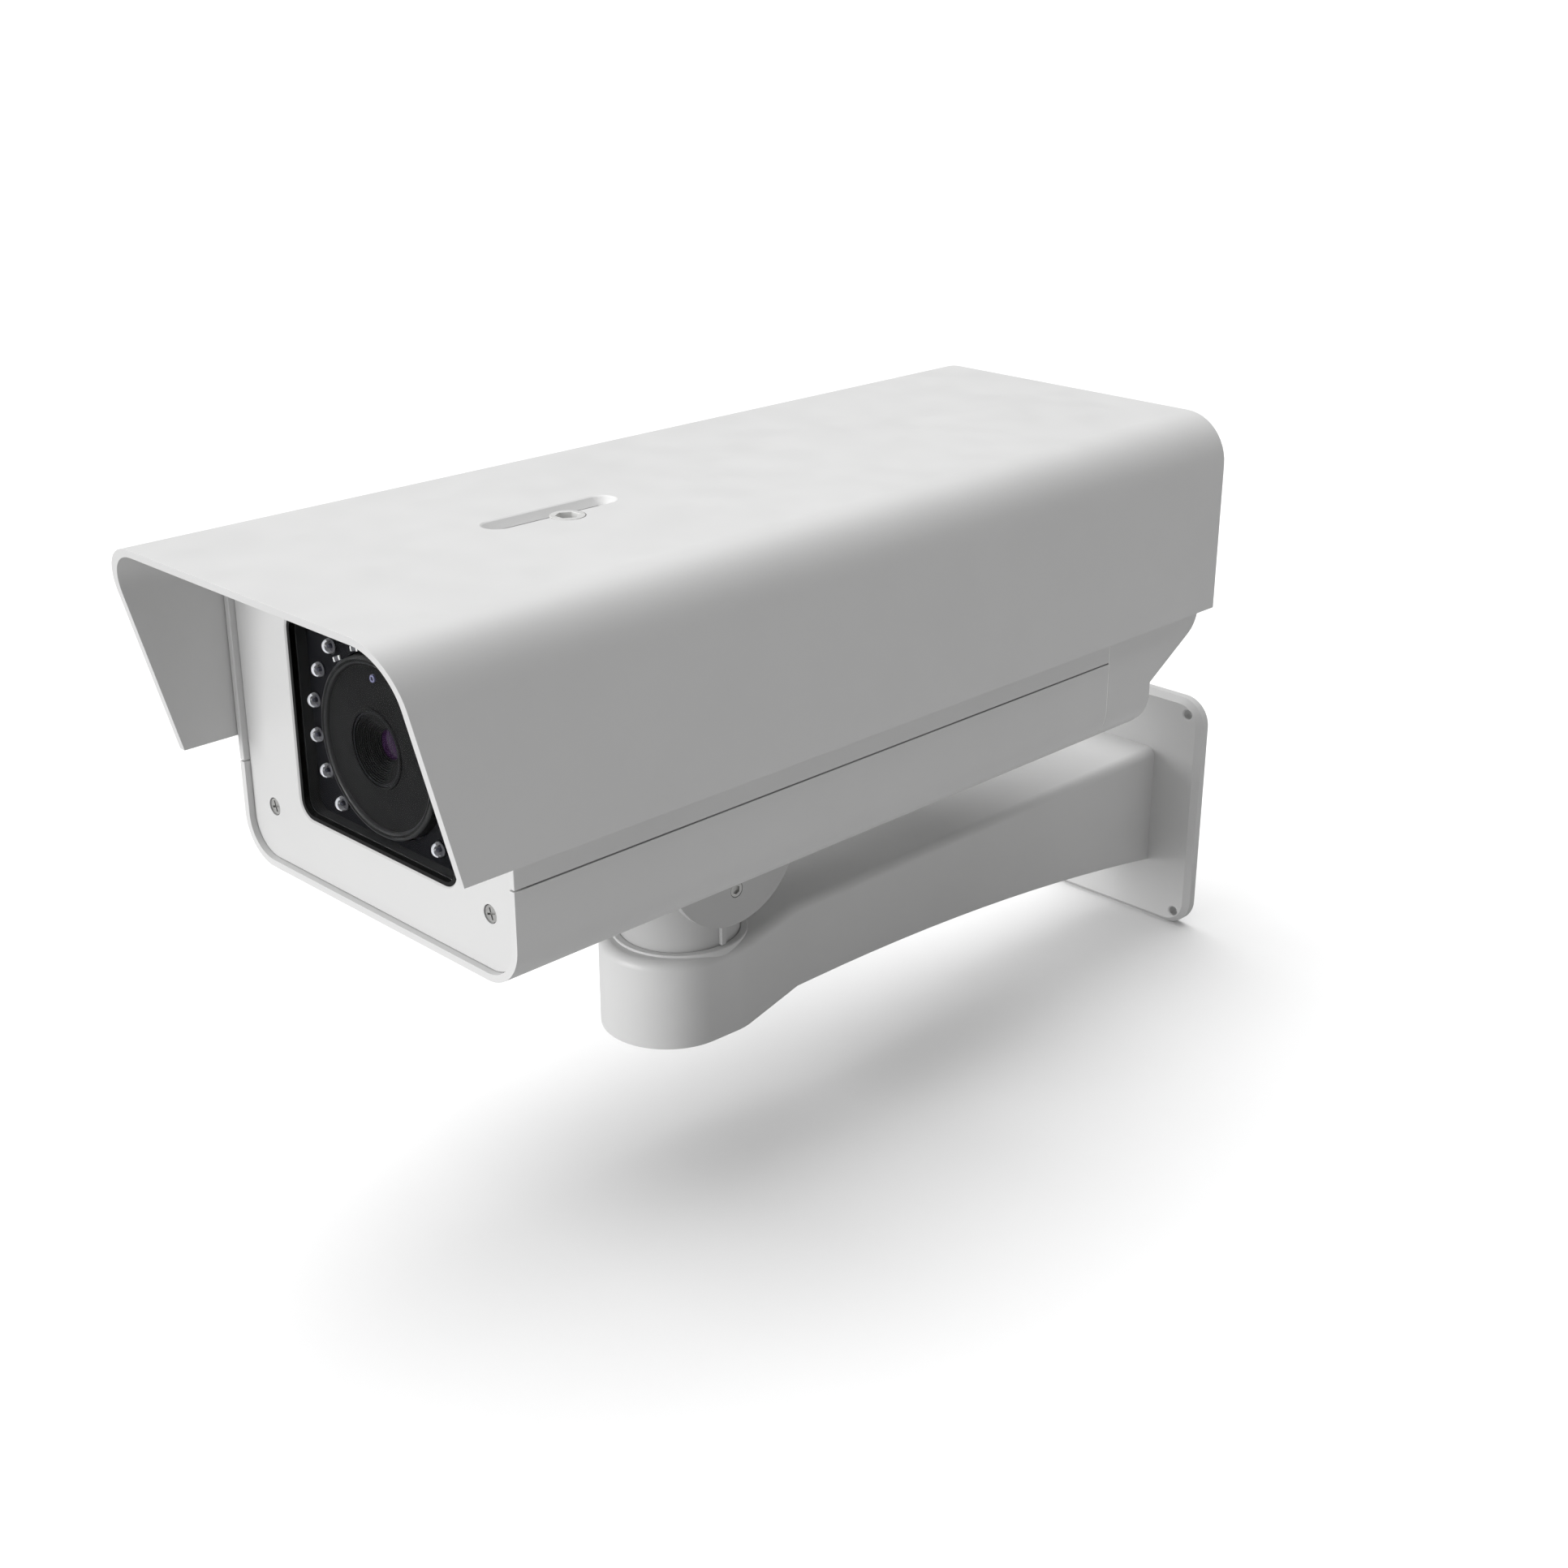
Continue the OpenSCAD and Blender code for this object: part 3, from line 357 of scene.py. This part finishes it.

# The anvil's outline, a pale crescent that also paints in each lamp's bright reflected crescent: an
# outer arc, and an inner arc of an ellipse set off from its centre
GLINT_ANVIL_START, GLINT_ANVIL_TURN, GLINT_ANVIL_POINTS = 105.0, 12.5, 15
GLINT_ANVIL_OUTER_R = 2.0
GLINT_ANVIL_INNER_SHIFT, GLINT_ANVIL_INNER_X, GLINT_ANVIL_INNER_Z = 0.45, 1.35, 1.4
GLINT_ANVIL_HEIGHTS = (0.25, 1.5)

# Resistors, (sideways, up, turn in degrees) from the lens axis, on both sides of it
RESISTORS = [(23.0, 23.6, -24.5), (12.9, 29.3, -12.0)]
RESISTOR_SIZE = (3.8, 0.6, 1.5)
RESISTOR_CAP = (0.75, 0.66, 1.56)
RESISTOR_CAP_X = 1.6
RESISTOR_LIFT = 0.3

SENSOR_EYE = [(0.0, 0.0), (0.6, 0.0), (0.6, 0.12), (0.45, 0.25), (0.25, 0.33), (0.0, 0.36)]
SENSOR_EYE_DEPTH = 0.39


def lamp_spots():
    """The centre of each lamp, from the groups of points in the CAD node."""
    groups = []
    for vertex in nodes["ir_leds"].data.vertices:
        point = Vector((vertex.co.x, vertex.co.z))
        for group in groups:
            if (group[0] - point).length < LAMP_REACH * MM:
                group.append(point)
                break
        else:
            groups.append([point])
    spots = []
    for group in groups:
        xs, zs = [p.x for p in group], [p.y for p in group]
        spots.append(((min(xs) + max(xs)) / 2, (min(zs) + max(zs)) / 2))
    return spots


def anvil_painted_glint(shape, spot):
    """The larger half of a lamp's lead frame, a pale matte crescent on the board at the lamp's left. It
    is a painted highlight: it stands in for the bright crescent of reflected light on the lamp's left
    side.
    """
    turns = [math.radians(GLINT_ANVIL_START + GLINT_ANVIL_TURN * step) for step in range(GLINT_ANVIL_POINTS)]
    outline = [(GLINT_ANVIL_OUTER_R * math.cos(a), GLINT_ANVIL_OUTER_R * math.sin(a)) for a in turns]
    outline += [(GLINT_ANVIL_INNER_SHIFT + GLINT_ANVIL_INNER_X * math.cos(a), GLINT_ANVIL_INNER_Z * math.sin(a))
                for a in reversed(turns)]
    rings = []
    for height in GLINT_ANVIL_HEIGHTS:
        rings.append([shape.verts.new((spot[0] + x * MM, BOARD_Y - height * MM, spot[1] + z * MM))
                      for x, z in outline])
        shape.faces.new(rings[-1])
    for i in range(len(outline)):
        j = (i + 1) % len(outline)
        shape.faces.new((rings[0][i], rings[0][j], rings[1][j], rings[1][i]))


def make_lamps():
    """Twelve clear 5 mm lamps: an epoxy dome over the lead frame's two halves. The larger half is a pale
    matte crescent at the lamp's left, a painted highlight.
    """
    spots = lamp_spots()
    dome = [(0.0, 0.0), (LAMP_FLANGE_R, 0.0), (LAMP_FLANGE_R, 0.4), (LAMP_R, 0.45), (LAMP_R, DOME_FOOT)]
    for step in range(1, DOME_STEPS):
        angle = math.pi / 2 * step / DOME_STEPS
        dome.append((LAMP_R * math.cos(angle), DOME_FOOT + LAMP_R * math.sin(angle)))
    dome.append((0.0, DOME_FOOT + LAMP_R))

    epoxy = clear_glass("lamp_epoxy", (0.96, 0.96, 0.98), 1.42, 0.02)
    # Pale and matte rather than shiny metal, so that the crescent shows as a painted highlight
    lead_frame_and_glint = moulded("lamp_lead_frame_and_painted_glint", (0.45, 0.45, 0.46), 0.35, 900.0, 0.004)
    domes = add_turned("lamp_domes", dome, spots, BOARD_Y, epoxy)
    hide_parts("ir_leds")
    add_turned("lamp_bases", LAMP_BASE, spots, BOARD_Y, ceramic)
    add_turned("lamp_chips", LAMP_POST, spots, BOARD_Y, chip)
    add_piece("lamp_frames_and_painted_glint", lambda shape: [anvil_painted_glint(shape, spot) for spot in spots], lead_frame_and_glint)


def make_resistors():
    """Small surface-mounted resistors between the lamps and the hood, with tinned ends."""
    places = []
    for side in (-1.0, 1.0):
        for out, up, turn in RESISTORS:
            centre = Vector((LENS_X + side * out * MM, BOARD_Y - RESISTOR_LIFT * MM, LENS_Z + up * MM))
            places.append((centre, side * turn))

    def bodies(shape):
        for centre, turn in places:
            block(shape, centre, RESISTOR_SIZE, turn)

    def ends(shape):
        for centre, turn in places:
            along = Vector((math.cos(math.radians(turn)), 0.0, math.sin(math.radians(turn))))
            for end in (-RESISTOR_CAP_X, RESISTOR_CAP_X):
                block(shape, centre + along * end * MM, RESISTOR_CAP, turn)

    tinned = moulded("tinned_ends", (0.72, 0.72, 0.70), 0.3)
    add_piece("resistor_bodies", bodies, ceramic)
    add_piece("resistor_ends", ends, tinned)


def make_sensor_eye():
    """The dark lens in the middle of the light sensor's ring."""
    low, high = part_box("light_sensor")
    spot = ((low.x + high.x) / 2, (low.z + high.z) / 2)
    add_turned("sensor_eye", SENSOR_EYE, [spot], low.y + SENSOR_EYE_DEPTH * MM, chip,
               steps=24)


# ---- lens and hood --------------------------------------------------------

# How far the bead's foot and the cone's foot lie behind the hood's foremost plane
HOOD_RIM_DEPTH = 1.6
LENS_FRONT_DEPTH = 7.0
HOOD_RIM = [(27.3, 0.0), (27.5, 0.7), (27.9, 1.2), (28.5, 1.45), (29.2, 1.5), (29.8, 1.25),
            (30.2, 0.7), (30.3, 0.0)]

# The cone narrows rib by rib, from its mouth back to the glass
CONE_RIBS = 12
CONE_MOUTH_R, CONE_MOUTH_HEIGHT = 11.45, 6.5
CONE_THROAT_R, CONE_THROAT_HEIGHT = 5.0, 1.4
CONE_BACK_R, CONE_BACK_HEIGHT = 9.95, 0.2
GLASS_GAP = 0.02


def make_hood_rim():
    """The rounded bead round the hood's face."""
    bead = moulded("baffle_rim", (0.020, 0.020, 0.020), 0.4, specular=0.12)
    add_turned("hood_rim", HOOD_RIM, [(LENS_X, LENS_Z)], HOOD_LOW.y + HOOD_RIM_DEPTH * MM,
               bead, steps=128, smooth_angle=60.0)


def make_lens_front():
    """The lens's ribbed front cone, which narrows to its coated front element."""
    cone = []
    rib_height = (CONE_MOUTH_HEIGHT - CONE_THROAT_HEIGHT) / CONE_RIBS
    for rib in range(CONE_RIBS):
        radius = CONE_MOUTH_R + (CONE_THROAT_R - CONE_MOUTH_R) * rib / CONE_RIBS
        height = CONE_MOUTH_HEIGHT - rib_height * rib
        cone += [(radius, height), (radius, height - rib_height)]
    cone += [(CONE_THROAT_R, CONE_THROAT_HEIGHT), (CONE_THROAT_R, CONE_BACK_HEIGHT),
             (CONE_BACK_R, CONE_BACK_HEIGHT)]
    glass_r = CONE_THROAT_R - GLASS_GAP
    glass = [(0.0, CONE_BACK_HEIGHT), (glass_r, CONE_BACK_HEIGHT), (glass_r, 0.9), (3.4, 1.3),
             (1.7, 1.55), (0.0, 1.6)]

    spots = [(LENS_X, LENS_Z)]
    y = HOOD_LOW.y + LENS_FRONT_DEPTH * MM
    coating = moulded("lens_coating", (0.012, 0.004, 0.016), 0.15, 300.0, 0.001, 0.15)
    ribbed = add_turned("lens_front_cone", cone, spots, y, SLOT_MATERIALS["baffle"],
                        steps=96)
    front = add_turned("lens_front_element", glass, spots, y, coating, steps=96)
    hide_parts("lens_front_glass")
    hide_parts("lens_front_glass")


make_lamps()
make_hood_rim()
make_lens_front()
make_resistors()
make_sensor_eye()

# ---- stage ----------------------------------------------------------------

FLOOR_SIZE = 60.0
# The floor's colour as it lights the object. The camera sees it paler.
FLOOR_BOUNCE = (0.52, 0.52, 0.52, 1.0)
# The backdrop's strength as it lights the object, and as the camera sees it
WHITE = (1.0, 1.0, 1.0, 1.0)
WORLD_LIGHT = 0.25
WORLD_SHOWN = 1.0

# The camera's place, from the point it is aimed at, and that point from the CAD box's middle
CAMERA_AZIMUTH, CAMERA_ELEVATION, CAMERA_DISTANCE = 45.0, 22.5, 824.4
AIM_SHIFT = (0.0, 1.5, -1.7)
CAMERA_LENS, CAMERA_SENSOR = 50.0, 36.0
CLIP_START, CLIP_END = 0.01, 50.0


def make_floor():
    """A pale floor, wide enough to fill the view. It throws back less light than it shows."""
    bpy.ops.mesh.primitive_plane_add(size=FLOOR_SIZE, location=(0.0, 0.0, cad_low.z))
    floor = bpy.context.object
    floor.name = "floor"
    s = Shader("pale_floor", Metallic=0.0, Specular_IOR_Level=0.1)
    s.colour(s.noise(1.5), (0.92, 0.92, 0.92), (0.94, 0.94, 0.94))
    s.roughness(s.noise(5.0), 0.7, 0.8)
    bounce = s.add("BsdfDiffuse", Color=FLOOR_BOUNCE)
    s.link(by_ray(s.tree, "Is Camera Ray", usual=bounce, special=s.bsdf), s.output.inputs["Surface"])
    floor.data.materials.append(s.material)


def sun(name, direction, power, softness):
    """A distant lamp that shines from direction, softened over this many degrees."""
    data = bpy.data.lights.new(name, "SUN")
    data.energy = power
    data.angle = math.radians(softness)
    lamp = bpy.data.objects.new(name, data)
    lamp.rotation_euler = Vector(direction).to_track_quat("Z", "Y").to_euler()
    bpy.context.scene.collection.objects.link(lamp)


def light_studio():
    """A white backdrop that lights little itself, a broad top lamp and a softer front lamp."""
    world = bpy.data.worlds.new("studio")
    world.use_nodes = True
    tree = world.node_tree
    dim = tree.nodes["Background"]
    white = tree.nodes.new("ShaderNodeBackground")
    for background, strength in ((dim, WORLD_LIGHT), (white, WORLD_SHOWN)):
        background.inputs["Color"].default_value = WHITE
        background.inputs["Strength"].default_value = strength
    tree.links.new(by_ray(tree, "Is Camera Ray", usual=dim, special=white),
                   tree.nodes["World Output"].inputs["Surface"])
    bpy.context.scene.world = world
    sun("key_lamp", direction=(-0.26, 0.0, 1.0), power=3.05, softness=80.0)
    sun("front_lamp", direction=(-0.25, -1.0, 0.20), power=2.8, softness=36.0)


def place_camera():
    """The camera looks from the front, from the lens's left, and a little from above."""
    azimuth, elevation = math.radians(CAMERA_AZIMUTH), math.radians(CAMERA_ELEVATION)
    back = Vector((math.sin(azimuth) * math.cos(elevation),
                   -math.cos(azimuth) * math.cos(elevation), math.sin(elevation)))
    data = bpy.data.cameras.new("camera")
    data.lens = CAMERA_LENS
    data.sensor_width = CAMERA_SENSOR
    data.clip_start = CLIP_START
    data.clip_end = CLIP_END
    camera = bpy.data.objects.new("camera", data)
    aim = (cad_low + cad_high) / 2 + Vector(AIM_SHIFT) * MM
    camera.location = aim + back * (CAMERA_DISTANCE * MM)
    camera.rotation_mode = "QUATERNION"
    camera.rotation_quaternion = (-back).to_track_quat("-Z", "Y")
    bpy.context.scene.collection.objects.link(camera)
    bpy.context.scene.camera = camera


make_floor()
light_studio()
place_camera()
bpy.context.scene.view_settings.view_transform = "Standard"
